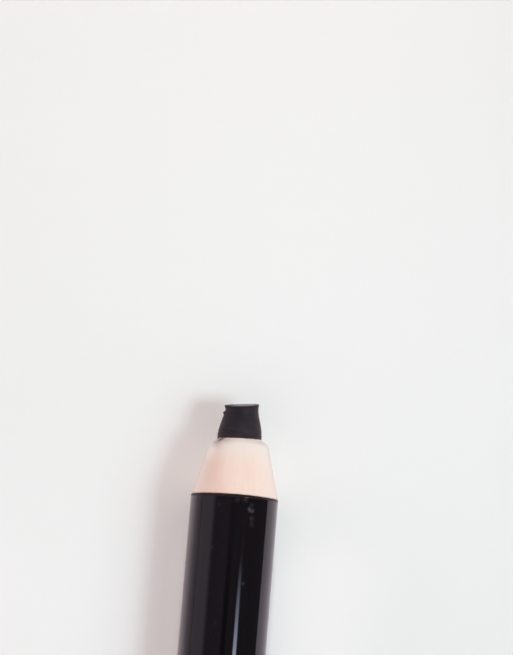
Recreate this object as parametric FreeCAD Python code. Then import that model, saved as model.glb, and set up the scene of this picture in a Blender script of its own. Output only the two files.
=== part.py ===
# A chubby, round, wood-cased liner pencil, sharpened, with a thick soft core worn flat at its tip.
# Units are millimetres and degrees. The pencil stands on its flat rear end: the origin is that
# end's centre, +Z runs up the axis to the tip, and the casing's glued seam lies in the XZ plane.
import FreeCAD, Part
import math
import os

# Driving dimensions: the barrel
overall_length = 120.1      # rear end to the middle of the worn tip
barrel_diameter = 11.0      # over the lacquer
coat_thickness = 0.1        # lacquer, on the side only
end_round = 0.2             # broken edge of the bare, flat sawn rear end
core_diameter = 5.5
bond_gap = 0.03             # glue film between the core and its groove

# Driving dimensions: the sharpened end of the casing
cone_half_angle = 14.5      # of the sharpened cone, to the axis
rim_wall = 0.95             # wood left round the core where the cone stops
rim_rise = 0.7              # height of the slope from there in to the core
rim_round = 0.35            # softened corner between cone and rim

# Driving dimensions: the bare end of the core
core_reach = 4.15           # rim to the middle of the worn tip
core_shoulder = 1.0         # height above the rim where the full diameter ends
taper_half_angle = 16.0     # of the core's own cone, to the axis
shoulder_blend = 6.0        # radius that eases the full diameter into the cone
neck_inset = 0.675          # how far the cone comes in to the neck, its narrowest place
neck_blend = 3.0            # radius that eases the cone into the lip
lip_flare = 3.0             # outward lean of the pressed lip, to the axis
wear_radius = 30.0          # hollow of the worn face
wear_tilt = 7.0             # slope of the worn face, up towards +X
wear_lean = 8.5             # slope of the worn face, down towards -Y
bite_radius = 1.0           # shallow crumbled bite under the lip, on the -X side
bite_depth = 0.09
bite_drop = 0.7             # from the middle of the worn tip down to the bite

# Derived places and sizes
barrel_radius = barrel_diameter / 2
wood_radius = barrel_radius - coat_thickness
core_radius = core_diameter / 2
groove_radius = core_radius + bond_gap
rim_radius = core_radius + rim_wall
neck_radius = core_radius - neck_inset
rim_top = overall_length - core_reach
cone_top = rim_top - rim_rise
cone_foot = cone_top - (barrel_radius - rim_radius) / math.tan(math.radians(cone_half_angle))
taper_foot = rim_top + core_shoulder
taper_top = taper_foot + neck_inset / math.tan(math.radians(taper_half_angle))
stock_top = overall_length + core_radius    # of the core before it is worn
lip_radius = neck_radius + (stock_top - taper_top) * math.tan(math.radians(lip_flare))
cutter_reach = barrel_diameter      # how far cutting bodies run past what they cut

ORIGIN = FreeCAD.Vector(0, 0, 0)
AXIS_X = FreeCAD.Vector(1, 0, 0)
AXIS_Y = FreeCAD.Vector(0, 1, 0)
AXIS_Z = FreeCAD.Vector(0, 0, 1)
BLEND_SHARE = 0.48                  # most of a side that one corner's arc may take


def blended_corner(before, corner, after, blend):
    """Where a tangent arc of radius blend leaves the two sides of a corner, and its middle."""
    back = before - corner
    ahead = after - corner
    half = back.getAngle(ahead) / 2
    reach = min(blend / math.tan(half), BLEND_SHARE * back.Length, BLEND_SHARE * ahead.Length)
    radius = reach * math.tan(half)
    back.normalize()
    ahead.normalize()
    middle = (back + ahead).normalize() * (radius / math.sin(half) - radius)
    return corner + back * reach, corner + middle, corner + ahead * reach


def turned(corners):
    """A solid turned about Z from an outline of (radius, height, blend) corners."""
    points = [FreeCAD.Vector(radius, 0, height) for radius, height, blend in corners]
    edges = []
    starts = []
    ends = []
    for index, (radius, height, blend) in enumerate(corners):
        corner = points[index]
        if blend > 0:
            after = points[(index + 1) % len(points)]
            first, middle, last = blended_corner(points[index - 1], corner, after, blend)
            edges.append(Part.Arc(first, middle, last).toShape())
        else:
            first = last = corner
        starts.append(first)
        ends.append(last)
    for index, last in enumerate(ends):
        edges.append(Part.LineSegment(last, starts[(index + 1) % len(starts)]).toShape())
    wire = Part.Wire(Part.__sortEdges__(edges))
    return Part.Face(wire).revolve(ORIGIN, AXIS_Z, 360)


def sharpened_form():
    """The outside of casing and lacquer together: round rear rim, barrel, cone and rim slope."""
    return turned([
        (0, 0, 0),
        (barrel_radius, 0, end_round),
        (barrel_radius, cone_foot, 0),
        (rim_radius, cone_top, rim_round),
        (groove_radius, rim_top, 0),
        (0, rim_top, 0),
    ])


def wood_blank():
    """The bare round stick before sharpening, inside the lacquer."""
    return Part.makeCylinder(wood_radius, overall_length, ORIGIN, AXIS_Z)


def casing_half(side):
    """One of the two grooved slats, glued along the seam. side is -1 in front and 1 behind."""
    groove = Part.makeCylinder(groove_radius, overall_length, ORIGIN, AXIS_Z)
    both = sharpened_form().common(wood_blank()).cut(groove)
    width = 2 * cutter_reach
    corner_y = 0 if side > 0 else -width
    corner = FreeCAD.Vector(-cutter_reach, corner_y, 0)
    return both.common(Part.makeBox(width, width, overall_length, corner))


def lacquer_coat():
    """The film on the barrel, cut to a feather edge by the cone and broken at the rear end."""
    return sharpened_form().cut(wood_blank())


def worn_away():
    """What writing has removed above the tip: a shallow trough, tilted and leaning."""
    tip = FreeCAD.Vector(0, 0, overall_length)
    start = FreeCAD.Vector(0, -cutter_reach, overall_length + wear_radius)
    trough = Part.makeCylinder(wear_radius, 2 * cutter_reach, start, AXIS_Y)
    trough.rotate(tip, AXIS_Y, -wear_tilt)
    trough.rotate(tip, AXIS_X, wear_lean)
    return trough


def lip_bite():
    """The small crumbled hollow under the lip."""
    out = neck_radius + bite_radius - bite_depth
    return Part.makeSphere(bite_radius, FreeCAD.Vector(-out, 0, overall_length - bite_drop))


def core():
    """The core, from the sawn rear end to its bare, tapered and worn tip."""
    stick = turned([
        (0, 0, 0),
        (core_radius, 0, 0),
        (core_radius, taper_foot, shoulder_blend),
        (neck_radius, taper_top, neck_blend),
        (lip_radius, stock_top, 0),
        (0, stock_top, 0),
    ])
    return stick.cut(worn_away()).cut(lip_bite())


def main():
    nodes = {
        "core": core(),
        "casing_front_half": casing_half(-1),
        "casing_back_half": casing_half(1),
        "lacquer_coat": lacquer_coat(),
    }
    os.makedirs("parts", exist_ok=True)
    for name, shape in nodes.items():
        box = shape.optimalBoundingBox()
        print(name, len(shape.Solids), "solid", round(shape.Volume, 3), "mm3,",
              "valid" if shape.isValid() else "not valid",
              f"z {box.ZMin:.3f} to {box.ZMax:.3f}, width {box.XLength:.3f}")
        shape.exportStep(f"parts/{name}.step")


main()
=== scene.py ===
import math
import bpy
import numpy as np
from mathutils import Matrix, Vector


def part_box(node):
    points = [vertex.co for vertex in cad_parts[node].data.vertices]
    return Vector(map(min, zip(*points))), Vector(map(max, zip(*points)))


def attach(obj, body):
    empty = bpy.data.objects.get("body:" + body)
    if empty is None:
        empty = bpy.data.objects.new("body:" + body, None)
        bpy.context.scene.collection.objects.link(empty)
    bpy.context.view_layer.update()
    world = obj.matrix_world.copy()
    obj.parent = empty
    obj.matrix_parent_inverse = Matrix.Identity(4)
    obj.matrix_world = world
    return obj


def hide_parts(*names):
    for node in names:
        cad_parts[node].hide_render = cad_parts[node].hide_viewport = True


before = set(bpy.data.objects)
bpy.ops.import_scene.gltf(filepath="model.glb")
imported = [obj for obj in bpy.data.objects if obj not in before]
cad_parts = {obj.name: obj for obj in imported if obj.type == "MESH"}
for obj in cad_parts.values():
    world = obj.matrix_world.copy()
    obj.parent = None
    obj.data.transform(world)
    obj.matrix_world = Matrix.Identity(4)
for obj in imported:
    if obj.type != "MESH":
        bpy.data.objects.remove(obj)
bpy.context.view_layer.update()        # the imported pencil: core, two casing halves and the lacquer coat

# A chubby liner pencil, standing on its sawn rear end, seen close up at its worn tip.
# Everything is in metres. A turn is an angle about the pencil's axis: 0 faces -Y, a quarter is +X.

mm = 0.001

# sizes read from the frame
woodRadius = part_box("casing_front_half")[1].x
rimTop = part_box("casing_front_half")[1].z
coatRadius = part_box("lacquer_coat")[1].x
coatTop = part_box("lacquer_coat")[1].z        # where the sharpened cone leaves the lacquer
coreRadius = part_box("core")[1].x
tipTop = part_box("core")[1].z


# numpy helpers

# random values on a lattice that closes round in u, blended by 3t^2 - 2t^3 between neighbours
def softNoise(u, v, across, along, seed):
    lattice = np.random.default_rng(seed).uniform(-1, 1, (along + 2, across))
    x = (u % 1.0) * across
    y = np.clip(v, 0, 1) * along
    column = np.floor(x).astype(int)
    row = np.floor(y).astype(int)
    fx = x - column
    fy = y - row
    fx = fx * fx * (3 - 2 * fx)
    fy = fy * fy * (3 - 2 * fy)
    left = column % across
    right = (column + 1) % across
    low = (1 - fx) * lattice[row, left] + fx * lattice[row, right]
    high = (1 - fx) * lattice[row + 1, left] + fx * lattice[row + 1, right]
    return (1 - fy) * low + fy * high


# 0 below the first value, 1 above the second, 3t^2 - 2t^3 between
def smoothStep(low, high, value):
    t = np.clip((value - low) / (high - low), 0, 1)
    return t * t * (3 - 2 * t)


# bell of height 1, exp(-(x / width)^2)
def bell(x, width):
    return np.exp(-(x / width) ** 2)


# a turn's distance from another, in radians, the short way round
def turnFrom(turn, degrees):
    return (turn - math.radians(degrees) + math.pi) % (2 * math.pi) - math.pi


# a patch on the surface: a bell in turn, in degrees, times a bell in height
def patch(turn, height, atTurn, atHeight, wide, tall):
    return bell(turnFrom(turn, atTurn), math.radians(wide)) * bell(height - atHeight, tall)


# points of a turned grid: x = r sin(turn), y = -r cos(turn), z
def turnedPoints(radius, turn, height):
    return np.stack([radius * np.sin(turn), -radius * np.cos(turn), height], axis=-1)


# quads of a grid, row by row; either way can close on itself
def gridQuads(rows, columns, closeRows=False, closeColumns=False):
    i = np.arange(rows if closeRows else rows - 1)[:, None]
    j = np.arange(columns if closeColumns else columns - 1)[None, :]
    up = (i + 1) % rows
    over = (j + 1) % columns
    corners = [i * columns + j, i * columns + over, up * columns + over, up * columns + j]
    return np.stack([corner + 0 * i + 0 * j for corner in corners], axis=-1).reshape(-1, 4)


# triangles that close a grid's first and last rows onto two poles, which come next after its points
def poleFans(rows, columns):
    j = np.arange(columns)
    over = (j + 1) % columns
    last = (rows - 1) * columns
    pole = np.full(columns, rows * columns)
    low = np.stack([pole, over, j], axis=-1)
    high = np.stack([last + j, last + over, pole + 1], axis=-1)
    return np.concatenate([low, high])


# a mesh object from points and any number of face arrays, each array holding faces of one size
def meshPiece(name, points, faceArrays, material, masks={}, sharpDegrees=50):
    mesh = bpy.data.meshes.new(name)
    mesh.vertices.add(len(points))
    mesh.vertices.foreach_set("co", points.astype(np.float32).ravel())
    sizes = np.concatenate([np.full(len(faces), faces.shape[1]) for faces in faceArrays])
    loops = np.concatenate([faces.ravel() for faces in faceArrays])
    mesh.loops.add(len(loops))
    mesh.loops.foreach_set("vertex_index", loops.astype(np.int32))
    mesh.polygons.add(len(sizes))
    mesh.polygons.foreach_set("loop_start", (np.cumsum(sizes) - sizes).astype(np.int32))
    mesh.polygons.foreach_set("use_smooth", np.ones(len(sizes), bool))
    mesh.update(calc_edges=True)
    mesh.validate()
    mesh.set_sharp_from_angle(angle=math.radians(sharpDegrees))
    for maskName, values in masks.items():
        mask = mesh.attributes.new(maskName, "FLOAT", "POINT")
        mask.data.foreach_set("value", values.astype(np.float32).ravel())
    mesh.materials.append(material)
    piece = bpy.data.objects.new(name, mesh)
    bpy.context.scene.collection.objects.link(piece)
    return piece


# node helpers

def addNode(tree, kind, inputs={}, **settings):
    node = tree.nodes.new(kind)
    for key, value in settings.items():
        setattr(node, key, value)
    for key, value in inputs.items():
        if isinstance(value, bpy.types.NodeSocket):
            tree.links.new(value, node.inputs[key])
        else:
            node.inputs[key].default_value = value
    return node


def addMath(tree, operation, first, second=0.0, clamp=False):
    node = addNode(tree, "ShaderNodeMath", {0: first, 1: second}, operation=operation, use_clamp=clamp)
    return node.outputs[0]


# a colour mixed between two by a factor
def addMix(tree, factor, first, second, blend="MIX"):
    mixed = {0: factor, 6: first, 7: second}
    return addNode(tree, "ShaderNodeMix", mixed, data_type="RGBA", blend_type=blend).outputs[2]


def addNoise(tree, vector, scale, detail=3.0, roughness=0.5, distortion=0.0):
    node = addNode(tree, "ShaderNodeTexNoise", {
        "Vector": vector, "Scale": scale, "Detail": detail, "Roughness": roughness, "Distortion": distortion})
    return node.outputs["Fac"]


def addRange(tree, value, fromMin, fromMax, toMin=0.0, toMax=1.0):
    node = addNode(tree, "ShaderNodeMapRange", {
        "Value": value, "From Min": fromMin, "From Max": fromMax, "To Min": toMin, "To Max": toMax})
    node.interpolation_type = "SMOOTHSTEP"
    return node.outputs[0]


def addMapping(tree, vector, scale):
    return addNode(tree, "ShaderNodeMapping", {"Vector": vector, "Scale": scale}).outputs[0]


# a colour ramp from (position, tint) stops in rising order; a new ramp has two, and the rest are added
def addRamp(tree, share, stops):
    ramp = addNode(tree, "ShaderNodeValToRGB", {0: share})
    for index, (position, tint) in enumerate(stops):
        stop = ramp.color_ramp.elements[index] if index < 2 else ramp.color_ramp.elements.new(position)
        stop.position = position
        stop.color = colour(*tint)
    return ramp.outputs[0]


def addMask(tree, name):
    return addNode(tree, "ShaderNodeAttribute", attribute_name=name).outputs["Fac"]


def colour(r, g, b):
    return (r, g, b, 1.0)


# a node group with named sockets; fill(tree, inputs) returns its outputs by name
def makeGroup(name, inputs, outputs, fill):
    tree = bpy.data.node_groups.new(name, "ShaderNodeTree")
    for socketName, (kind, value) in inputs.items():
        socket = tree.interface.new_socket(socketName, in_out="INPUT", socket_type=kind)
        if value is not None:
            socket.default_value = value
    for socketName, kind in outputs.items():
        tree.interface.new_socket(socketName, in_out="OUTPUT", socket_type=kind)
    entry = tree.nodes.new("NodeGroupInput")
    leave = tree.nodes.new("NodeGroupOutput")
    for socketName, value in fill(tree, entry.outputs).items():
        tree.links.new(value, leave.inputs[socketName])
    return tree


def placeGroup(tree, group, inputs):
    return addNode(tree, "ShaderNodeGroup", inputs, node_tree=group)


# an empty material with its Principled shader and the piece's own coordinates
def startMaterial(name):
    material = bpy.data.materials.new(name)
    material.use_nodes = True
    tree = material.node_tree
    tree.nodes.clear()
    shader = tree.nodes.new("ShaderNodeBsdfPrincipled")
    output = tree.nodes.new("ShaderNodeOutputMaterial")
    tree.links.new(shader.outputs[0], output.inputs["Surface"])
    place = tree.nodes.new("ShaderNodeTexCoord").outputs["Object"]
    return material, tree, shader, place


def addBump(tree, shader, height, strength, distance):
    bump = addNode(tree, "ShaderNodeBump", {"Height": height, "Strength": strength, "Distance": distance})
    tree.links.new(bump.outputs[0], shader.inputs["Normal"])


# shared effects

# fine lumps and finer grit added up, as on wax, wood and lacquer
def fillMicroRelief(tree, inputs):
    lumps = addNoise(tree, inputs["Vector"], inputs["Lump Scale"], 2.0)
    grit = addNoise(tree, inputs["Vector"], inputs["Grit Scale"], 3.0, 0.6)
    grit = addMath(tree, "MULTIPLY", grit, inputs["Grit Share"])
    return {"Height": addMath(tree, "ADD", lumps, grit), "Grit": grit}


microRelief = makeGroup("microRelief", {
    "Vector": ("NodeSocketVector", None),
    "Lump Scale": ("NodeSocketFloat", 800.0),
    "Grit Scale": ("NodeSocketFloat", 6000.0),
    "Grit Share": ("NodeSocketFloat", 0.4),
}, {"Height": "NodeSocketFloat", "Grit": "NodeSocketFloat"}, fillMicroRelief)


# scattered small spots: the middles of random cells, in the share of cells whose random value is low
def fillSpecks(tree, inputs):
    cells = addNode(tree, "ShaderNodeTexVoronoi", {"Vector": inputs["Vector"], "Scale": inputs["Scale"]})
    spot = addRange(tree, cells.outputs["Distance"], 0.0, 0.22, 1.0, 0.0)
    chosen = addNode(tree, "ShaderNodeSeparateColor", {0: cells.outputs["Color"]}).outputs[0]
    kept = addMath(tree, "LESS_THAN", chosen, inputs["Share"])
    return {"Mask": addMath(tree, "MULTIPLY", spot, kept)}


specks = makeGroup("specks", {
    "Vector": ("NodeSocketVector", None),
    "Scale": ("NodeSocketFloat", 1500.0),
    "Share": ("NodeSocketFloat", 0.1),
}, {"Mask": "NodeSocketFloat"}, fillSpecks)


# materials

waxLook = dict(
    black=colour(0.0215, 0.0170, 0.0225),
    # paler: dust, the worn face, and painted light and shade down the side
    dustAndPaintedLight=colour(0.040, 0.034, 0.040),
    # brown at the foot, and a painted warm reflection up both sides
    brownAndPaintedReflection=colour(0.046, 0.022, 0.024),
    roughness=(0.50, 0.68),
    wornRoughness=0.35,
    specular=0.28,
    sheen=0.04,
    sheenRoughness=0.45,
    sheenTint=colour(1.0, 0.72, 0.66),
    bump=0.25,
)


# soft pigmented wax: near black, paler where it is dusty and on its worn face, with painted light and shade
# down its side, browner at its foot, with a painted warm reflection up both sides, matt with a faint sheen
def makeWax():
    material, tree, shader, place = startMaterial("coreWax")
    relief = placeGroup(tree, microRelief, {
        "Vector": place, "Lump Scale": 1400.0, "Grit Scale": 9000.0, "Grit Share": 0.5})
    cloud = addRange(tree, addNoise(tree, place, 900.0, 4.0, 0.6), 0.42, 0.72)
    dust = placeGroup(tree, specks, {"Vector": place, "Scale": 5200.0, "Share": 0.12}).outputs["Mask"]
    dust = addMath(tree, "MULTIPLY", dust, 0.5)
    dustAndPaintedLight = addMath(tree, "MAXIMUM", addMath(tree, "MULTIPLY", cloud, 0.45), dust)
    # adds the worn face's paleness, and painted light and shade down the side
    dustAndPaintedLight = addMath(tree, "ADD", dustAndPaintedLight, addMask(tree, "wornAndPaintedLight"), True)
    base = addMix(tree, dustAndPaintedLight, waxLook["black"], waxLook["dustAndPaintedLight"])
    # brown at the foot, and a painted warm reflection up both sides
    base = addMix(tree, addMask(tree, "footAndPaintedReflection"), base, waxLook["brownAndPaintedReflection"])
    tree.links.new(base, shader.inputs["Base Color"])
    roughness = addRange(tree, cloud, 0.0, 1.0, *waxLook["roughness"])
    smoother = waxLook["roughness"][1] - waxLook["wornRoughness"]
    polish = addMath(tree, "MULTIPLY", addMask(tree, "polish"), smoother)
    roughness = addMath(tree, "SUBTRACT", roughness, polish)
    tree.links.new(roughness, shader.inputs["Roughness"])
    shader.inputs["Specular IOR Level"].default_value = waxLook["specular"]
    shader.inputs["Sheen Weight"].default_value = waxLook["sheen"]
    shader.inputs["Sheen Roughness"].default_value = waxLook["sheenRoughness"]
    shader.inputs["Sheen Tint"].default_value = waxLook["sheenTint"]
    addBump(tree, shader, relief.outputs["Height"], waxLook["bump"], 0.03 * mm)
    return material


woodLook = dict(
    light=colour(0.892, 0.708, 0.622),
    mid=colour(0.852, 0.640, 0.551),
    # dark pink, for pores and for painted shade on the left
    darkPinkAndPaintedShade=colour(0.840, 0.592, 0.500),
    # painted light along both sides
    paintedRimLight=colour(0.950, 0.795, 0.730),
    # painted highlights near both sides
    paintedRimHighlight=colour(0.985, 0.905, 0.850),
    veil=colour(0.818, 0.754, 0.709),
    pigment=colour(0.050, 0.036, 0.038),
    stain=colour(0.330, 0.270, 0.265),
    slatShift=31 * mm,             # between the patterns of the two halves
    roughness=0.62,
    specular=0.30,
    bump=0.35,
)


# bare sharpened softwood: straight layers along the pencil, fine fibres, and core pigment rubbed into its
# rim; painted shade on the left, painted light and highlights along both sides
def makeWood():
    material, tree, shader, place = startMaterial("casingWood")
    shift = addMath(tree, "MULTIPLY", addMask(tree, "slat"), woodLook["slatShift"])
    shift = addNode(tree, "ShaderNodeCombineXYZ", {0: shift}).outputs[0]
    place = addNode(tree, "ShaderNodeVectorMath", {0: place, 1: shift}, operation="ADD").outputs[0]
    layers = addNoise(tree, addMapping(tree, place, (1.0, 0.55, 0.045)), 520.0, 2.0, 0.5, 0.3)
    fibres = addNoise(tree, addMapping(tree, place, (1.0, 1.0, 0.035)), 5200.0, 3.0, 0.6)
    pores = placeGroup(tree, specks, {
        "Vector": addMapping(tree, place, (1.0, 1.0, 0.06)), "Scale": 3600.0, "Share": 0.10}).outputs["Mask"]
    relief = placeGroup(tree, microRelief, {
        "Vector": addMapping(tree, place, (1.0, 1.0, 0.12)),
        "Lump Scale": 2600.0, "Grit Scale": 9000.0, "Grit Share": 0.6})
    tone = addMath(tree, "ADD", addMath(tree, "MULTIPLY", addRange(tree, layers, 0.35, 0.68), 0.65),
                   addMath(tree, "MULTIPLY", addRange(tree, fibres, 0.35, 0.70), 0.30))
    base = addMix(tree, tone, woodLook["light"], woodLook["mid"])
    base = addMix(tree, addMath(tree, "MULTIPLY", pores, 0.30), base, woodLook["darkPinkAndPaintedShade"])
    # painted shade: a darker pink band on the left
    base = addMix(tree, addMask(tree, "darkPinkAndPaintedShade"), base, woodLook["darkPinkAndPaintedShade"])
    # painted light along both sides
    base = addMix(tree, addMask(tree, "paintedRimLight"), base, woodLook["paintedRimLight"])
    streaky = addRange(tree, fibres, 0.30, 0.70, 0.78, 1.22)
    veil = addMath(tree, "MULTIPLY", addMask(tree, "veil"), streaky, True)
    base = addMix(tree, veil, base, woodLook["veil"])
    # painted highlights near both sides
    base = addMix(tree, addMask(tree, "paintedRimHighlight"), base, woodLook["paintedRimHighlight"])
    smear = addMask(tree, "smear")
    grains = addNoise(tree, place, 4200.0, 3.0, 0.65)
    film = addMath(tree, "MULTIPLY", smear, addRange(tree, grains, 0.3, 0.7, 0.8, 1.2), True)
    base = addMix(tree, film, base, woodLook["stain"])
    uneven = addMath(tree, "MULTIPLY", addMath(tree, "SUBTRACT", grains, 0.5), 0.5)
    ragged = addMath(tree, "ADD", smear, uneven)
    base = addMix(tree, addRange(tree, ragged, 0.72, 1.05), base, woodLook["pigment"])
    tree.links.new(base, shader.inputs["Base Color"])
    shader.inputs["Roughness"].default_value = woodLook["roughness"]
    shader.inputs["Specular IOR Level"].default_value = woodLook["specular"]
    height = addMath(tree, "ADD", relief.outputs["Height"], addMath(tree, "MULTIPLY", fibres, 0.8))
    height = addMath(tree, "SUBTRACT", height, addMath(tree, "MULTIPLY", pores, 0.5))
    addBump(tree, shader, height, woodLook["bump"], 0.02 * mm)
    return material


# soft-edged spot round a point
def fillSpot(tree, inputs):
    ends = {0: inputs["Vector"], 1: inputs["Point"]}
    away = addNode(tree, "ShaderNodeVectorMath", ends, operation="DISTANCE").outputs["Value"]
    away = addMath(tree, "DIVIDE", away, inputs["Size"])
    return {"Mask": addRange(tree, away, 0.0, 1.0, inputs["Strength"], 0.0)}


spot = makeGroup("spot", {
    "Vector": ("NodeSocketVector", None),
    "Point": ("NodeSocketVector", None),
    "Size": ("NodeSocketFloat", 0.3 * mm),
    "Strength": ("NodeSocketFloat", 1.0),
}, {"Mask": "NodeSocketFloat"}, fillSpot)


lacquerLook = dict(
    black=colour(0.0030, 0.0026, 0.0032),
    grey=colour(0.030, 0.028, 0.031),
    scuff=colour(0.110, 0.102, 0.110),
    scuffs=(                       # turn in degrees, height, size, strength
        (21.8, 106.88 * mm, 0.52 * mm, 1.0), (25.0, 106.75 * mm, 0.44 * mm, 0.8),
        (25.2, 105.80 * mm, 0.50 * mm, 0.45), (25.8, 105.05 * mm, 0.44 * mm, 0.50),
        (24.0, 107.45 * mm, 0.46 * mm, 0.25), (3.5, 107.95 * mm, 0.46 * mm, 0.40),
        (14.0, 108.05 * mm, 0.60 * mm, 0.30), (20.6, 97.70 * mm, 0.38 * mm, 0.45),
        (-19.0, 107.20 * mm, 0.40 * mm, 0.18), (140.0, 101.00 * mm, 0.60 * mm, 0.60)),
    cut=colour(0.0220, 0.0115, 0.0115),
    cutRoughness=0.36,
    cutDulling=0.14,               # taken off its specular level
    roughness=(0.045, 0.085),
    specular=0.5,
    clearCoat=0.75,
    clearCoatRoughness=0.05,
    bump=0.06,
)


# deep gloss black: a faint ripple, dust and scuffs, and a duller face where the sharpener cut it
def makeLacquer():
    material, tree, shader, place = startMaterial("blackLacquer")
    cut = addMask(tree, "cut")
    relief = placeGroup(tree, microRelief, {
        "Vector": addMapping(tree, place, (1.0, 1.0, 0.35)),
        "Lump Scale": 420.0, "Grit Scale": 2600.0, "Grit Share": 0.15})
    dust = placeGroup(tree, specks, {"Vector": place, "Scale": 900.0, "Share": 0.05}).outputs["Mask"]
    wear = addRange(tree, addNoise(tree, place, 260.0, 4.0, 0.6), 0.40, 0.70)
    base = addMix(tree, addMath(tree, "MULTIPLY", dust, 0.55), lacquerLook["black"], lacquerLook["grey"])
    scuff = 0.0
    for degrees, height, size, strength in lacquerLook["scuffs"]:
        angle = math.radians(degrees)
        point = (coatRadius * math.sin(angle), -coatRadius * math.cos(angle), height)
        mask = placeGroup(tree, spot, {
            "Vector": place, "Point": point, "Size": size, "Strength": strength}).outputs["Mask"]
        scuff = addMath(tree, "MAXIMUM", mask, scuff)
    broken = addRange(tree, addNoise(tree, place, 5000.0, 3.0, 0.7), 0.30, 0.75)
    scuff = addMath(tree, "MULTIPLY", scuff, broken)
    base = addMix(tree, scuff, base, lacquerLook["scuff"])
    base = addMix(tree, cut, base, lacquerLook["cut"])
    tree.links.new(base, shader.inputs["Base Color"])
    low, high = lacquerLook["roughness"]
    roughness = addMath(tree, "ADD", addMath(tree, "MULTIPLY", wear, high - low), low)
    cutRoughness = addMath(tree, "MULTIPLY", cut, lacquerLook["cutRoughness"])
    roughness = addMath(tree, "MAXIMUM", roughness, cutRoughness)
    roughness = addMath(tree, "MAXIMUM", roughness, addMath(tree, "MULTIPLY", dust, 0.4))
    tree.links.new(roughness, shader.inputs["Roughness"])
    coat = addMath(tree, "MULTIPLY", addMath(tree, "SUBTRACT", 1.0, cut), lacquerLook["clearCoat"])
    tree.links.new(coat, shader.inputs["Coat Weight"])
    shader.inputs["Coat Roughness"].default_value = lacquerLook["clearCoatRoughness"]
    dulled = addMath(tree, "MULTIPLY", cut, lacquerLook["cutDulling"])
    gloss = addMath(tree, "SUBTRACT", lacquerLook["specular"], dulled)
    tree.links.new(gloss, shader.inputs["Specular IOR Level"])
    shader.inputs["IOR"].default_value = 1.50
    height = addMath(tree, "ADD", relief.outputs["Height"], addMath(tree, "MULTIPLY", dust, 0.8))
    addBump(tree, shader, height, lacquerLook["bump"], 0.02 * mm)
    return material


print("materials")
coreWax = makeWax()
casingWood = makeWood()
blackLacquer = makeLacquer()


# the core, worn to a short neck

core = dict(
    neckRadius=2.08 * mm,
    shoulderRise=0.45 * mm,        # where the full radius starts to come in, above the rim
    neckRise=3.75 * mm,            # where it has come in all the way
    wearBelowTop=0.382 * mm,       # middle of the worn face, below the highest point
    wearHollow=45.0 * mm,
    wearTilt=6.1,                  # degrees up towards +X
    wearLean=8.5,                  # degrees down towards -Y
    edgeRound=0.09 * mm,
    lipRise=4.1 * mm,              # about where the side meets the worn face
    ridges=0.016 * mm,             # drag ridges and pits on the worn face, and its crumbled edge
    pits=0.014 * mm,
    crumble=0.030 * mm,
    sawing=0.004 * mm,             # saw marks on the rear end, and its broken edge
    endBreak=0.01 * mm,
    rings=(                        # pressed in and out near the rim: amount, rise, height
        (-0.070 * mm, 0.66 * mm, 0.07 * mm), (0.045 * mm, 0.46 * mm, 0.09 * mm)),
    patches=(                      # bumps and hollows: amount, turn, rise, width in degrees, height
        (0.135 * mm, -86, 3.90 * mm, 22, 0.17 * mm), (-0.035 * mm, -84, 3.50 * mm, 24, 0.12 * mm),
        (0.170 * mm, -86, 3.08 * mm, 15, 0.16 * mm), (0.060 * mm, 90, 2.75 * mm, 45, 0.80 * mm),
        (0.050 * mm, -30, 3.95 * mm, 22, 0.22 * mm), (0.045 * mm, 62, 4.30 * mm, 40, 0.20 * mm),
        (-0.040 * mm, 128, 3.70 * mm, 20, 0.25 * mm), (0.060 * mm, 165, 4.00 * mm, 16, 0.16 * mm)),
    lumps=(                        # amount, and how many round and up the bare end
        (0.016 * mm, 17, 7), (0.007 * mm, 64, 22), (0.004 * mm, 190, 5), (0.004 * mm, 6, 52)),
    columns=448,
    discRows=12,
    sideRows=150,
    edgeRows=8,
    faceRows=32,
)


# r = neck + (full - neck) (1 - smoothStep(rise)), plus a pressed ring, a smeared foot, the knob, notch and
# burr under the lip, lumps, drag rings and upright scratches
def coreSideRadius(turn, rise):
    inside = 1 - smoothStep(core["shoulderRise"], core["neckRise"], rise)
    radius = core["neckRadius"] + (coreRadius - core["neckRadius"]) * inside
    bare = smoothStep(-0.6 * mm, 0.0, rise)
    u = turn / (2 * math.pi)
    v = rise / (5 * mm)
    around = 0.70 + 0.30 * np.sin(turn + 0.5)
    for amount, atRise, tall in core["rings"]:
        radius = radius + amount * bell(rise - atRise, tall) * around
    radius = radius + 0.035 * mm * bell(rise, 0.16 * mm)
    for amount, *where in core["patches"]:
        radius = radius + amount * patch(turn, rise, *where)
    for number, (amount, across, along) in enumerate(core["lumps"]):
        radius = radius + bare * amount * softNoise(u, v, across, along, 11 + number)
    return radius


# z = middle + x tan(tilt) + y tan(lean) + x^2 / 2R, with drag ridges along X and crumbled pits
def wornHeight(x, y):
    middle = tipTop - core["wearBelowTop"]
    slope = x * math.tan(math.radians(core["wearTilt"])) + y * math.tan(math.radians(core["wearLean"]))
    hollow = x * x / (2 * core["wearHollow"])
    across = y / (6 * mm) + 0.5
    along = x / (6 * mm) + 0.5
    ridges = core["ridges"] * softNoise(across * 0.9, along, 26, 3, 21)
    pits = core["pits"] * softNoise(across * 0.9, along, 44, 40, 22)
    return middle + slope + hollow + ridges + pits


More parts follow.
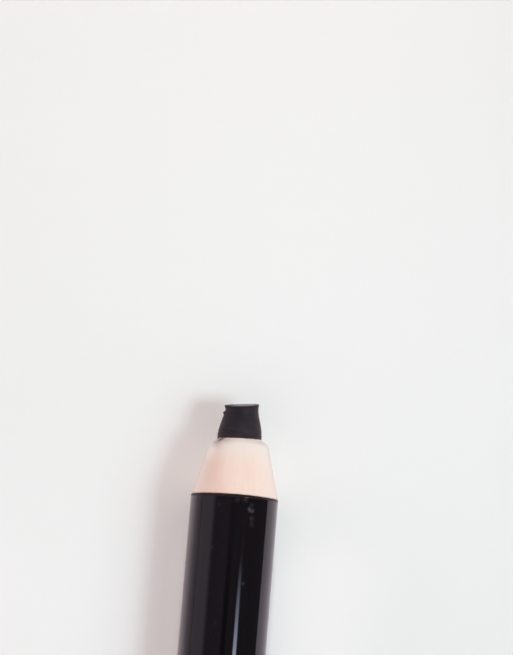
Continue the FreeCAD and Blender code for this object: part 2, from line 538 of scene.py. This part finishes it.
# rows of one grid: sawn end, hidden side, bare end, quarter round and worn face, closed at two poles
def makeCore():
    turn = np.linspace(-math.pi, math.pi, core["columns"], endpoint=False)[None, :]
    flat = np.ones_like(turn)

    discShare = np.linspace(0, 1, core["discRows"] + 1)[1:, None]
    discRadius = discShare * (coreRadius - core["endBreak"]) * flat
    discHeight = core["sawing"] * (1 + softNoise(turn / (2 * math.pi), discShare * flat, 9, 9, 31))

    # the side stops a rounding below the worn face
    topRadius = coreSideRadius(turn, core["lipRise"] * flat)
    topEdge = wornHeight(topRadius * np.sin(turn), -topRadius * np.cos(turn))
    crumble = core["crumble"] * softNoise(turn / (2 * math.pi), flat * 0, 70, 1, 32) ** 2
    sideTop = topEdge - core["edgeRound"] - crumble
    hiddenHeight = np.linspace(core["endBreak"], rimTop - 0.7 * mm, 5)[:, None] * flat
    share = np.linspace(0, 1, core["sideRows"])[:, None]
    start = rimTop - 0.5 * mm
    sideHeight = np.concatenate([hiddenHeight, start + (sideTop - start) * share])
    sideRadius = coreSideRadius(turn, sideHeight - rimTop)

    # quarter round to the worn face
    lastRadius = sideRadius[-1:]
    angle = np.linspace(0, math.pi / 2, core["edgeRows"] + 1)[1:, None]
    edgeRadius = lastRadius - core["edgeRound"] * (1 - np.cos(angle))
    innerRadius = edgeRadius[-1:]
    faceEdge = wornHeight(innerRadius * np.sin(turn), -innerRadius * np.cos(turn))
    edgeHeight = sideTop + np.sin(angle) * (faceEdge - sideTop)

    faceShare = np.linspace(1, 0, core["faceRows"] + 1)[1:-1, None]
    faceRadius = innerRadius * faceShare
    faceHeight = wornHeight(faceRadius * np.sin(turn), -faceRadius * np.cos(turn))

    radius = np.concatenate([discRadius, sideRadius, edgeRadius, faceRadius])
    height = np.concatenate([discHeight, sideHeight, edgeHeight, faceHeight])
    rows, columns = radius.shape
    points = turnedPoints(radius, turn + 0 * radius, height).reshape(-1, 3)
    poles = np.array([[0, 0, core["sawing"]], [0, 0, float(wornHeight(np.array(0.0), np.array(0.0)))]])
    points = np.concatenate([points, poles])
    faces = [gridQuads(rows, columns, closeColumns=True), poleFans(rows, columns)]

    rise = height - rimTop
    # painted light: paler to the right of the middle, on the lamp's side, with a painted sheen patch at the
    # foot there; painted shade, blacker, to its left
    bared = smoothStep(0.9 * mm, 1.5 * mm, rise)
    wornAndPaintedLight = 0.22 * bared * bell(turnFrom(turn, 25), math.radians(22))
    wornAndPaintedLight = wornAndPaintedLight - 0.27 * bared * bell(turnFrom(turn, -17), math.radians(15))
    wornAndPaintedLight = wornAndPaintedLight + 0.70 * patch(turn, rise, 22, 0.78 * mm, 24, 0.42 * mm)
    polish = np.zeros_like(radius)
    face = core["discRows"] + sideRadius.shape[0] + core["edgeRows"] // 2
    across = (radius * np.sin(turn))[face:]
    polish[face:] = smoothStep(-1.9 * mm, -0.2 * mm, across)
    wornAndPaintedLight[face:] = 0.15 + 0.35 * polish[face:]
    # brown at the foot, and a painted warm reflection up both sides
    footAndPaintedReflection = 0.75 * bell(rise - 0.02 * mm, 0.20 * mm)
    limbs = bell(turnFrom(turn, -88), math.radians(26)) + bell(turnFrom(turn, 84), math.radians(30))
    footAndPaintedReflection = np.maximum(footAndPaintedReflection, 0.45 * limbs * (1 - smoothStep(1.8 * mm, 3.6 * mm, rise)))
    masks = dict(
        wornAndPaintedLight=np.concatenate([wornAndPaintedLight.ravel(), [0, wornAndPaintedLight[-1, 0]]]),
        polish=np.concatenate([polish.ravel(), [0, polish[-1, 0]]]),
        footAndPaintedReflection=np.concatenate([footAndPaintedReflection.ravel(), [0, 0]]),
    )
    return meshPiece("core_worn", points, faces, coreWax, masks)


# the two halves of the casing

casing = dict(
    coneAngle=14.5,                # degrees, to the axis
    rimRadius=3.70 * mm,
    rimRise=0.70 * mm,             # slope from the end of the cone in to the core
    rimSoft=0.16 * mm,             # how far cone and slope blend into each other
    rearRound=0.12 * mm,
    glueGap=0.02 * mm,             # between the core and its groove
    sunk=0.012 * mm,               # the barrel's wood, under the lacquer
    seamDip=0.018 * mm,
    bladeSteps=0.0032 * mm,        # the blade's marks on the cone, and how far apart they are
    stepSpacing=0.62 * mm,
    smears=(                       # rubbed-in pigment: strength, turn, distance below the rim, widths
        (0.96, -47, 0.20 * mm, 15, 0.85 * mm), (0.50, -33, 0.40 * mm, 16, 0.50 * mm),
        (1.15, -70, 0.02 * mm, 16, 0.24 * mm), (0.26, 56, 0.45 * mm, 22, 0.30 * mm),
        (0.24, 38, 0.15 * mm, 22, 0.22 * mm), (0.55, 150, 0.18 * mm, 30, 0.26 * mm)),
    paintedRimHighlights=(                       # painted highlights near both sides, the same way
        (0.72, -60, 1.70 * mm, 14, 1.20 * mm), (0.22, 64, 1.60 * mm, 18, 1.60 * mm)),
    # painted light along both sides, and at the back
    paintedRimLight=((0.95, -68, 15), (0.80, 72, 26), (0.5, 165, 30)),      # strength, turn, width in degrees
    columns=300,
    coneRows=110,
    rimRows=44,
)


# how far the wood's inner edge runs up the core: one slow wave and fine raggedness
def rimWave(turn):
    slow = -0.120 + 0.095 * np.sin(turn) - 0.020 * np.cos(2 * turn)
    ragged = 0.016 * softNoise(turn / (2 * math.pi), 0 * turn, 38, 1, 41)
    return (slow + ragged) * mm


# r = the smaller of the cone and the rim's slope, rounded where they meet by the polynomial smooth minimum
def sharpenedRadius(height):
    cone = woodRadius - (height - coatTop) * math.tan(math.radians(casing["coneAngle"]))
    slope = casing["rimRadius"] - (height - rimTop + casing["rimRise"]) * (
        (casing["rimRadius"] - coreRadius) / casing["rimRise"])
    soft = casing["rimSoft"]
    near = np.clip(1 - np.abs(cone - slope) / soft, 0, 1)
    return np.minimum(cone, slope) - near * near * soft / 4


# one half: its section runs out over the sawn end, up the side, over the rim and down the groove
def makeCasingHalf(name, startTurn, slat):
    turn = np.linspace(startTurn, startTurn + math.pi, casing["columns"] + 1)[None, :]
    flat = np.ones_like(turn)
    u = turn / (2 * math.pi)
    grooveRadius = coreRadius + casing["glueGap"]
    sunk = woodRadius - casing["sunk"]
    roundOff = casing["rearRound"]

    endShare = np.linspace(0, 1, 20)[:, None]
    endRadius = grooveRadius + (sunk - roundOff - grooveRadius) * endShare * flat
    acrossSaw = 0.02 + endRadius * np.cos(turn + 0.4) / (14 * mm) % 1.0
    sawing = softNoise(acrossSaw, flat * endShare, 60, 2, 51 + slat)
    endHeight = 0.012 * mm * (1 + sawing) + 0 * endRadius
    corner = np.linspace(0, math.pi / 2, 7)[1:, None]
    cornerRadius = (sunk - roundOff + roundOff * np.sin(corner)) * flat
    cornerHeight = endHeight[-1:] + roundOff * (1 - np.cos(corner)) * flat

    coneStart = coatTop - 0.35 * mm
    barrelHeight = np.linspace(0.5 * mm, coneStart, 6)[:-1, None] * flat
    barrelRadius = sunk * np.ones_like(barrelHeight)
    rimStart = rimTop - casing["rimRise"] - 0.35 * mm
    coneHeight = np.concatenate([
        np.linspace(coneStart, rimStart, casing["coneRows"]),
        np.linspace(rimStart, rimTop, casing["rimRows"] + 1)[1:]])[:, None]
    coneRadius = np.minimum(sharpenedRadius(coneHeight), sunk) * flat
    lift = smoothStep(rimTop - 1.3 * mm, rimTop, coneHeight) * rimWave(turn)
    v = (coneHeight - coneStart) / (rimTop - coneStart)
    onCone = smoothStep(coatTop - 0.1 * mm, coatTop + 0.15 * mm, coneHeight)
    steps = 2 * math.pi * coneHeight / casing["stepSpacing"] + turn + 1.5 * softNoise(u, v * flat, 7, 9, 53)
    relief = casing["bladeSteps"] * np.sin(steps) * (0.6 + 0.4 * softNoise(u, v * flat, 5, 4, 54))
    relief = relief + 0.0045 * mm * softNoise(u, v * flat, 210, 6, 55)
    relief = relief + 0.0120 * mm * softNoise(u, v * flat, 9, 3, 56)
    nearRim = smoothStep(rimStart, rimTop - 0.4 * mm, coneHeight)
    relief = relief + nearRim * 0.014 * mm * softNoise(u, v * flat, 90, 60, 57)
    toSeam = (turn - startTurn) * (startTurn + math.pi - turn) / math.pi * coneRadius
    relief = relief - casing["seamDip"] * bell(toSeam, 0.05 * mm)
    coneRadius = coneRadius + onCone * relief
    coneHeight = coneHeight + lift

    innerRadius = np.full((5, 1), grooveRadius) * flat
    innerTop = coneHeight[-1:] - 0.06 * mm
    innerHeight = np.concatenate([innerTop, np.linspace(rimTop - 1.2 * mm, 0.03 * mm, 4)[:, None] * flat])
    coneRadius[-1:] = coreRadius - 0.035 * mm    # the rim closes on the core

    radius = np.concatenate([endRadius, cornerRadius, barrelRadius, coneRadius, innerRadius])
    height = np.concatenate([endHeight, cornerHeight, barrelHeight, coneHeight, innerHeight])
    rows, columns = radius.shape
    points = turnedPoints(radius, turn + 0 * radius, height).reshape(-1, 3)
    quads = gridQuads(rows, columns, closeRows=True)
    ring = np.arange(rows) * columns
    startCap = ring[None, :]
    endCap = (ring[::-1] + columns - 1)[None, :]

    # rubbed-in pigment, a pale grey veil below the rim, a painted shade band on the left, and painted light
    # and painted highlights along both sides
    below = coneHeight[-1:] - height             # distance down from the rim's inner edge
    around = turn + 0 * below
    outside = (height > coneStart) & (radius > grooveRadius + 0.001 * mm)
    smears = [strength * patch(around, below, *where) for strength, *where in casing["smears"]]
    smears.append(0.50 * bell(below, 0.11 * mm))                                 # the rim's dark line
    smears.append(0.46 * bell(height - coatTop - coatWave(turn), 0.11 * mm))     # along the lacquer
    veil = 0.80 * (1 - smoothStep(0.3 * mm, 4.0 * mm, below))
    veil = veil * (1 - 0.60 * bell(turnFrom(turn, -54), math.radians(24)))
    shadeBandTurn = turn + math.radians(5.3) * (3.5 - below / mm)      # the painted shade band runs askew
    darkPinkAndPaintedShade = 0.60 * bell(turnFrom(shadeBandTurn, -39), math.radians(13)) * smoothStep(2.0 * mm, 3.6 * mm, below)
    paintedRimLight = sum(strength * bell(turnFrom(around, at), math.radians(wide))
               for strength, at, wide in casing["paintedRimLight"])
    paintedRimHighlight = sum(strength * patch(around, below, *where) for strength, *where in casing["paintedRimHighlights"])
    masks = dict(smear=np.maximum.reduce(smears), veil=veil, darkPinkAndPaintedShade=darkPinkAndPaintedShade, paintedRimLight=paintedRimLight, paintedRimHighlight=paintedRimHighlight)
    masks = {maskName: values * outside for maskName, values in masks.items()}
    masks["slat"] = np.full_like(radius, slat)
    return meshPiece(name, points, [quads, startCap, endCap], casingWood, masks)


# the lacquer coat

lacquer = dict(
    shrink=0.012 * mm,             # keeps the ripple inside the true diameter
    rearRound=0.20 * mm,
    proud=0.006 * mm,              # the cut face stands this far off the wood
    columns=640,
    barrelRows=40,
    cutRows=16,
)


# where the cut face ends on the wood: a twofold wave from the sharpener, a slow lean and fine chipping
def coatWave(turn):
    slow = 0.060 * np.cos(2 * turn) + 0.025 * np.sin(turn) - 0.07
    u = turn / (2 * math.pi)
    chips = 0.014 * softNoise(u, 0 * turn, 120, 1, 61) + 0.010 * softNoise(u, 0 * turn, 300, 1, 62)
    return (slow + chips) * mm


# outer skin up the barrel, the slanted cut face, and back down against the wood
def makeCoat():
    turn = np.linspace(-math.pi, math.pi, lacquer["columns"], endpoint=False)[None, :]
    flat = np.ones_like(turn)
    u = turn / (2 * math.pi)
    outer = coatRadius - lacquer["shrink"]
    inner = woodRadius - 0.010 * mm
    slope = math.tan(math.radians(casing["coneAngle"]))
    edge = coatTop + coatWave(turn)
    cutFoot = coatTop + 0.45 * coatWave(turn) - (outer - woodRadius) / slope

    roundOff = lacquer["rearRound"]
    bend = np.linspace(0.35, math.pi / 2, 9)[:, None]
    endRadius = (outer - roundOff + roundOff * np.sin(bend)) * flat
    endHeight = roundOff * (1 - np.cos(bend)) * flat
    endRadius = np.maximum(endRadius, inner + 0.004 * mm)

    share = np.linspace(0, 1, lacquer["barrelRows"])[1:, None]
    sideHeight = roundOff + (cutFoot - 0.9 * mm - roundOff) * share
    nearCut = np.array([0.5, 0.25, 0.12, 0.06, 0.03])[:, None] * mm
    sideHeight = np.concatenate([sideHeight, cutFoot - nearCut])
    v = sideHeight / (110 * mm)
    ripple = 0.0035 * mm * softNoise(u, v, 11, 14, 63) + 0.0015 * mm * softNoise(u, v, 40, 30, 64)
    sideRadius = outer + ripple

    cutShare = np.linspace(0, 1, lacquer["cutRows"])[:, None]
    cutHeight = cutFoot + (edge - cutFoot) * cutShare
    wood = woodRadius - (cutHeight - coatTop) * slope
    straight = outer + (woodRadius - (edge - coatTop) * slope - outer) * cutShare
    cutRadius = np.maximum(straight, wood) + lacquer["proud"]
    cutRadius = cutRadius + 0.002 * mm * softNoise(u, cutShare * flat, 260, 5, 65)
    cutRadius[-1:] = wood[-1:] - 0.012 * mm       # dives into the wood at the feather edge
    cutRadius = np.minimum(cutRadius, coatRadius - 0.002 * mm)

    downward = np.linspace(coatTop - 1 * mm, endHeight[0, 0], 4)[:, None] * flat
    backHeight = np.concatenate([cutHeight[-1:] - 0.12 * mm, downward])
    backRadius = inner * np.ones_like(backHeight)

    radius = np.concatenate([endRadius, sideRadius, cutRadius, backRadius])
    height = np.concatenate([endHeight, sideHeight, cutHeight, backHeight])
    rows, columns = radius.shape
    points = turnedPoints(radius, turn + 0 * radius, height).reshape(-1, 3)
    quads = gridQuads(rows, columns, closeRows=True, closeColumns=True)
    cut = np.zeros_like(radius)
    first = len(endRadius) + len(sideRadius)
    cut[first:first + lacquer["cutRows"]] = 1.0
    return meshPiece("lacquer_skin", points, [quads], blackLacquer, dict(cut=cut), sharpDegrees=30)


# crumbs of core wax

crumbs = dict(
    count=26,
    size=(0.030 * mm, 0.080 * mm),
    columns=12,
    rows=8,
    seed=71,
)


# each crumb is a squashed ball, r = size (1 + lumps), set into the surface it sticks to
def makeCrumbs():
    rng = np.random.default_rng(crumbs["seed"])
    columns, rows = crumbs["columns"], crumbs["rows"]
    turn = np.linspace(-math.pi, math.pi, columns, endpoint=False)[None, :]
    tilt = np.linspace(0, math.pi, rows + 2)[1:-1, None]
    allPoints, allQuads, allFans = [], [], []
    first = 0
    for number in range(crumbs["count"]):
        size = rng.uniform(*crumbs["size"])
        atTurn = math.radians(rng.normal(-80, 38))
        rise = rng.choice([0.08, 0.20, 0.45, 3.05]) * mm + rng.normal(0, 0.07) * mm
        sit = float(coreSideRadius(np.array(atTurn), np.array(rise))) + 0.1 * size
        lumps = 1 + 0.28 * softNoise(turn / (2 * math.pi), tilt / math.pi, 5, 4, 80 + number)
        ball = size * lumps
        local = np.stack([
            ball * np.sin(tilt) * np.cos(turn),
            ball * np.sin(tilt) * np.sin(turn) * rng.uniform(0.6, 1.0),
            ball * np.cos(tilt) * rng.uniform(0.6, 1.1)], axis=-1).reshape(-1, 3)
        ends = np.array([[0, 0, size], [0, 0, -size]]) * 0.8
        tumble = Matrix.Rotation(rng.uniform(0, 6), 3, "X") @ Matrix.Rotation(rng.uniform(0, 6), 3, "Z")
        middle = np.array([sit * math.sin(atTurn), -sit * math.cos(atTurn), rimTop + rise])
        allPoints.append(np.concatenate([local, ends]) @ np.array(tumble).T + middle)
        allQuads.append(gridQuads(rows, columns, closeColumns=True)[:, ::-1] + first)
        allFans.append(poleFans(rows, columns)[:, ::-1] + first)
        first += rows * columns + 2
    points = np.concatenate(allPoints)
    masks = dict(wornAndPaintedLight=np.full(len(points), 0.2), polish=np.zeros(len(points)), footAndPaintedReflection=np.zeros(len(points)))
    faces = [np.concatenate(allQuads), np.concatenate(allFans)]
    return meshPiece("core_crumbs", points, faces, coreWax, masks)


print("core")
corePiece = makeCore()
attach(corePiece, "root")
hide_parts("core")

print("casing")
for name, node, startTurn, slat in (
        ("casing_front", "casing_front_half", -math.pi / 2, 0),
        ("casing_back", "casing_back_half", math.pi / 2, 1)):
    half = makeCasingHalf(name, startTurn, slat)
    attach(half, "root")
    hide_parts(node)

print("lacquer")
skin = makeCoat()
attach(skin, "root")
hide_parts("lacquer_coat")

print("crumbs")
crumbPiece = makeCrumbs()
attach(crumbPiece, "root")


# stage, light and camera

paper = dict(
    colour=(0.880, 0.880, 0.880, 1),
    paintedLightNearBarrel=(0.998, 0.972, 0.975, 1),     # painted light, paler where the pencil takes light from it:
    nearStart=(-9.5 * mm, -5.6 * mm),        # from its left, by x
    nearEnd=(7 * mm, 24 * mm),               # to its right
    nearTop=(98 * mm, 110 * mm),             # and up to below its tip
    lowEnd=(2 * mm, 20 * mm),                # and weaker, further up and to the left
    lowTop=(88 * mm, 122 * mm),
    lowShare=0.42,
    paintedShadeNearLamp=(0.845, 0.845, 0.845, 1),       # painted shade, a little darker on the lamp's side
    lampStart=(0, 40 * mm),
    floorMirrored=(0.40, 0.36, 0.39, 1),     # what gloss shows of the floor
    mirrored=(                               # the card's tint in reflections, by x
        (-60 * mm, (0.36, 0.30, 0.35)), (-24 * mm, (0.47, 0.39, 0.44)),
        (-9 * mm, (0.74, 0.63, 0.69)), (30.0 * mm, (0.72, 0.63, 0.70)),
        (30.2 * mm, (0.766, 0.668, 0.728)), (60 * mm, (0.66, 0.565, 0.64))),
    cardBehind=0.45 * mm,                    # gap between the pencil and the card behind it
    cardLeft=-450 * mm,
    cardRight=64 * mm,
    cardHeight=480 * mm,
    floorReach=900 * mm,
)


def flatSheet(name, corners, material):
    points = np.array(corners, float)
    return meshPiece(name, points, [np.array([[0, 1, 2, 3]])], material)


# paper; the card behind is there for the camera and for reflections, and only from its front, with painted
# light near the pencil and painted shade on the lamp's side
def makePaper(name, seenFromFront):
    material = bpy.data.materials.new(name)
    material.use_nodes = True
    tree = material.node_tree
    tree.nodes.clear()
    output = tree.nodes.new("ShaderNodeOutputMaterial")
    place = tree.nodes.new("ShaderNodeTexCoord").outputs["Object"]
    fibres = addNoise(tree, place, 900.0, 3.0)
    tone = addMix(tree, addRange(tree, fibres, 0.3, 0.7, 0.0, 0.012), paper["colour"], colour(0.7, 0.7, 0.7))
    path = tree.nodes.new("ShaderNodeLightPath").outputs
    mirrored = paper["floorMirrored"]
    if seenFromFront:
        axes = addNode(tree, "ShaderNodeSeparateXYZ", {0: place}).outputs
        across = axes[0]
        # painted light near the pencil, where it takes light from the card
        near = addRange(tree, across, *paper["nearStart"])
        near = addMath(tree, "MULTIPLY", near, addRange(tree, across, *paper["nearEnd"], 1.0, 0.0))
        near = addMath(tree, "MULTIPLY", near, addRange(tree, axes[2], *paper["nearTop"], 1.0, 0.0))
        low = addRange(tree, axes[2], *paper["lowTop"], paper["lowShare"], 0.0)
        low = addMath(tree, "MULTIPLY", low, addRange(tree, across, *paper["lowEnd"], 1.0, 0.0))
        # painted shade on the lamp's side
        tone = addMix(tree, addRange(tree, across, *paper["lampStart"]), tone, paper["paintedShadeNearLamp"])
        tone = addMix(tree, addMath(tree, "MAXIMUM", near, low), tone, paper["paintedLightNearBarrel"])
        left, right = paper["mirrored"][0][0], paper["mirrored"][-1][0]
        share = addMath(tree, "DIVIDE", addMath(tree, "SUBTRACT", across, left), right - left, clamp=True)
        stops = [((x - left) / (right - left), tint) for x, tint in paper["mirrored"]]
        mirrored = addRamp(tree, share, stops)
    tone = addMix(tree, path["Is Glossy Ray"], tone, mirrored)
    diffuse = addNode(tree, "ShaderNodeBsdfDiffuse", {"Color": tone}).outputs[0]
    if seenFromFront:
        seen = addMath(tree, "MAXIMUM", path["Is Camera Ray"], path["Is Glossy Ray"])
        seen = addMath(tree, "MAXIMUM", seen, path["Is Transmission Ray"])
        back = tree.nodes.new("ShaderNodeNewGeometry").outputs["Backfacing"]
        seen = addMath(tree, "MULTIPLY", seen, addMath(tree, "SUBTRACT", 1.0, back))
        clear = tree.nodes.new("ShaderNodeBsdfTransparent").outputs[0]
        diffuse = addNode(tree, "ShaderNodeMixShader", {0: seen, 1: clear, 2: diffuse}).outputs[0]
    tree.links.new(diffuse, output.inputs["Surface"])
    return material


# the floor, and the card that stands close behind the pencil
def makeStage():
    reach = paper["floorReach"]
    corners = [(-reach, -reach, 0), (reach, -reach, 0), (reach, reach, 0), (-reach, reach, 0)]
    floor = flatSheet("floor", corners, makePaper("floorPaper", False))
    y = coatRadius + paper["cardBehind"]
    left, right, top = paper["cardLeft"], paper["cardRight"], paper["cardHeight"]
    corners = [(left, y, 0), (right, y, 0), (right, y, top), (left, y, top)]
    card = flatSheet("card", corners, makePaper("cardPaper", True))


studio = dict(
    fillFront=(0.255, 0.155, 0.120, 1),      # soft light from in front of the card
    fillBehind=(0.815, 0.815, 0.845, 1),     # and from behind it, in place of light off the paper
    fillEdge=(-0.33, -0.03),                 # directions, by y, between which the first turns into the second
    fillLean=0.08,                           # which lean this much with x
    seen=(0.870, 0.870, 0.870, 1),           # what the camera sees past the paper
    mirroredLeast=(0.080, 0.060, 0.075, 1),  # the least that gloss reflects from higher up
    mirroredUp=(0.012, 0.050),               # slopes between which that sets in
    mirrored=(                               # what gloss reflects, by direction in degrees round from -Y
        (-180, (0.62, 0.60, 0.60)), (-112, (0.55, 0.52, 0.53)), (-100, (0.36, 0.31, 0.35)),
        (-58, (0.40, 0.335, 0.40)), (-47, (0.125, 0.085, 0.120)), (-9, (0.130, 0.090, 0.125)),
        (-4, (0.03, 0.02, 0.03)), (3, (0.02, 0.01, 0.02)), (9, (0.090, 0.070, 0.085)),
        (40, (0.075, 0.060, 0.080)), (94, (0.070, 0.055, 0.070)), (118, (0.10, 0.09, 0.10)),
        (150, (0.60, 0.58, 0.58))),
    key=dict(angle=33.5, distance=420 * mm, height=64 * mm, size=(92 * mm, 84 * mm),
             power=0.0760, colour=(0.715, 0.965, 1.0), spread=70),
    # a dim lamp beside the key, for the long faint end of the shadow
    wide=dict(angle=47, distance=420 * mm, height=70 * mm, size=(120 * mm, 110 * mm),
              power=0.0300, colour=(0.705, 0.965, 1.0), spread=70),
    # a tall lamp that only reflections show
    streak=dict(angle=31.2, distance=250 * mm, height=61 * mm, size=(54 * mm, 98 * mm),
                power=0.088, colour=(0.70, 0.755, 1.0), spread=180),
    streakFade=(0.76, 1.0),                  # shares of its height between which it fades out upwards
    streakWidth=(0.49, 0.37),                # half widths at those heights, in shares of its width
    streakMiddle=(0.60, 0.45),               # and where its middle is
    streakSoft=0.20,                         # width of its soft sides
    streakPower=1.30,
    top=dict(angle=-1, distance=320 * mm, height=480 * mm, size=(40 * mm, 190 * mm),
             power=1.035, colour=(1.0, 0.962, 0.965), spread=180),
    side=dict(angle=-72, distance=300 * mm, height=330 * mm, size=(150 * mm, 150 * mm),
              power=0.09, colour=(0.75, 0.95, 1.0), spread=180),
)


# soft light from all round, and for gloss a ramp of tints by direction
def makeWorld():
    world = bpy.data.worlds.new("studio")
    bpy.context.scene.world = world
    world.use_nodes = True
    tree = world.node_tree
    tree.nodes.clear()
    direction = tree.nodes.new("ShaderNodeTexCoord").outputs["Generated"]
    axes = addNode(tree, "ShaderNodeSeparateXYZ", {0: direction}).outputs
    turned = addMath(tree, "ARCTAN2", axes[0], addMath(tree, "MULTIPLY", axes[1], -1.0))
    share = addMath(tree, "ADD", addMath(tree, "DIVIDE", turned, 2 * math.pi), 0.5)
    ramp = addRamp(tree, share, [(degrees / 360 + 0.5, tint) for degrees, tint in studio["mirrored"]])
    path = tree.nodes.new("ShaderNodeLightPath").outputs
    behind = addMath(tree, "SUBTRACT", axes[1], addMath(tree, "MULTIPLY", axes[0], studio["fillLean"]))
    fill = addRange(tree, behind, *studio["fillEdge"])
    fill = addMix(tree, fill, studio["fillFront"], studio["fillBehind"])
    upper = addRange(tree, axes[2], *studio["mirroredUp"])
    lifted = addMix(tree, upper, ramp, studio["mirroredLeast"], "LIGHTEN")
    tint = addMix(tree, path["Is Glossy Ray"], fill, lifted)
    tint = addMix(tree, addMath(tree, "MAXIMUM", path["Is Camera Ray"], path["Is Transmission Ray"]),
                  tint, studio["seen"])
    shader = addNode(tree, "ShaderNodeBackground", {"Color": tint, "Strength": 1.0}).outputs[0]
    output = tree.nodes.new("ShaderNodeOutputWorld")
    tree.links.new(shader, output.inputs["Surface"])


# a lamp at an angle round from -Y and at a height, aimed at the pencil's sharpened end
def areaLamp(name, lamp, glossy):
    data = bpy.data.lights.new(name, "AREA")
    data.shape = "RECTANGLE"
    data.size, data.size_y = lamp["size"]
    data.energy = lamp["power"]
    data.color = lamp["colour"]
    data.spread = math.radians(lamp["spread"])
    angle, distance = math.radians(lamp["angle"]), lamp["distance"]
    place = (distance * math.sin(angle), -distance * math.cos(angle), lamp["height"])
    holder = bpy.data.objects.new(name, data)
    bpy.context.scene.collection.objects.link(holder)
    holder.location = place
    aim = Vector((0, 0, coatTop)) - holder.location
    holder.rotation_euler = aim.to_track_quat("-Z", "Y").to_euler()
    holder.visible_camera = False
    holder.visible_glossy = glossy
    holder.visible_diffuse = not glossy
    return data


# the streak's lamp: strength = ramp^power (half width - |across - middle|) / softness, fainter and narrower
# upwards
def shapeStreak(data):
    data.use_nodes = True
    tree = data.node_tree
    tree.nodes.clear()
    low, high = studio["streakFade"]
    onLamp = tree.nodes.new("ShaderNodeNewGeometry").outputs["Parametric"]
    axes = addNode(tree, "ShaderNodeSeparateXYZ", {0: onLamp}).outputs
    ramp = addMath(tree, "DIVIDE", addMath(tree, "SUBTRACT", high, axes[1]), high - low, clamp=True)
    width = addRange(tree, ramp, 1.0, 0.0, *studio["streakWidth"])
    middle = addRange(tree, ramp, 1.0, 0.0, *studio["streakMiddle"])
    away = addMath(tree, "ABSOLUTE", addMath(tree, "SUBTRACT", axes[0], middle))
    inside = addMath(tree, "DIVIDE", addMath(tree, "SUBTRACT", width, away), studio["streakSoft"], clamp=True)
    strength = addMath(tree, "MULTIPLY", addMath(tree, "POWER", ramp, studio["streakPower"]), inside)
    shader = addNode(tree, "ShaderNodeEmission", {"Strength": strength}).outputs[0]
    tree.links.new(shader, tree.nodes.new("ShaderNodeOutputLight").inputs["Surface"])


def makeLights():
    makeWorld()
    for name, glossy in (("key", False), ("wide", False), ("streak", True), ("top", False), ("side", False)):
        data = areaLamp(name + "Lamp", studio[name], glossy)
        if glossy:
            shapeStreak(data)


view = dict(
    target=(0.99 * mm, 0, 130.10 * mm),      # the middle of the picture, on the pencil's middle plane
    distance=400 * mm,
    lookUp=6.0,                              # degrees
    roll=4.70,                               # degrees; the tip leans right
    frameHeight=82.67 * mm,                  # what the picture's height covers at the target
    sensor=36.0,
)


# a long lens that looks up a little, rolled so that the tip leans right
def makeCamera():
    data = bpy.data.cameras.new("camera")
    data.sensor_width = view["sensor"]
    data.lens = view["sensor"] * view["distance"] / view["frameHeight"]
    camera = bpy.data.objects.new("camera", data)
    bpy.context.scene.collection.objects.link(camera)
    pitch = math.radians(view["lookUp"])
    roll = math.radians(view["roll"])
    forward = Vector((0, math.cos(pitch), math.sin(pitch)))
    right = Vector((1, 0, 0))
    up = Vector((0, -math.sin(pitch), math.cos(pitch)))
    across = math.cos(roll) * right + math.sin(roll) * up
    upward = math.cos(roll) * up - math.sin(roll) * right
    place = Vector(view["target"]) - view["distance"] * forward
    turned = Matrix((across, upward, -forward)).transposed().to_4x4()
    camera.matrix_world = Matrix.Translation(place) @ turned
    data.clip_start = 0.01
    data.clip_end = 10.0
    bpy.context.scene.camera = camera


print("stage, light and camera")
makeStage()
makeLights()
makeCamera()
bpy.context.scene.view_settings.view_transform = "Standard"
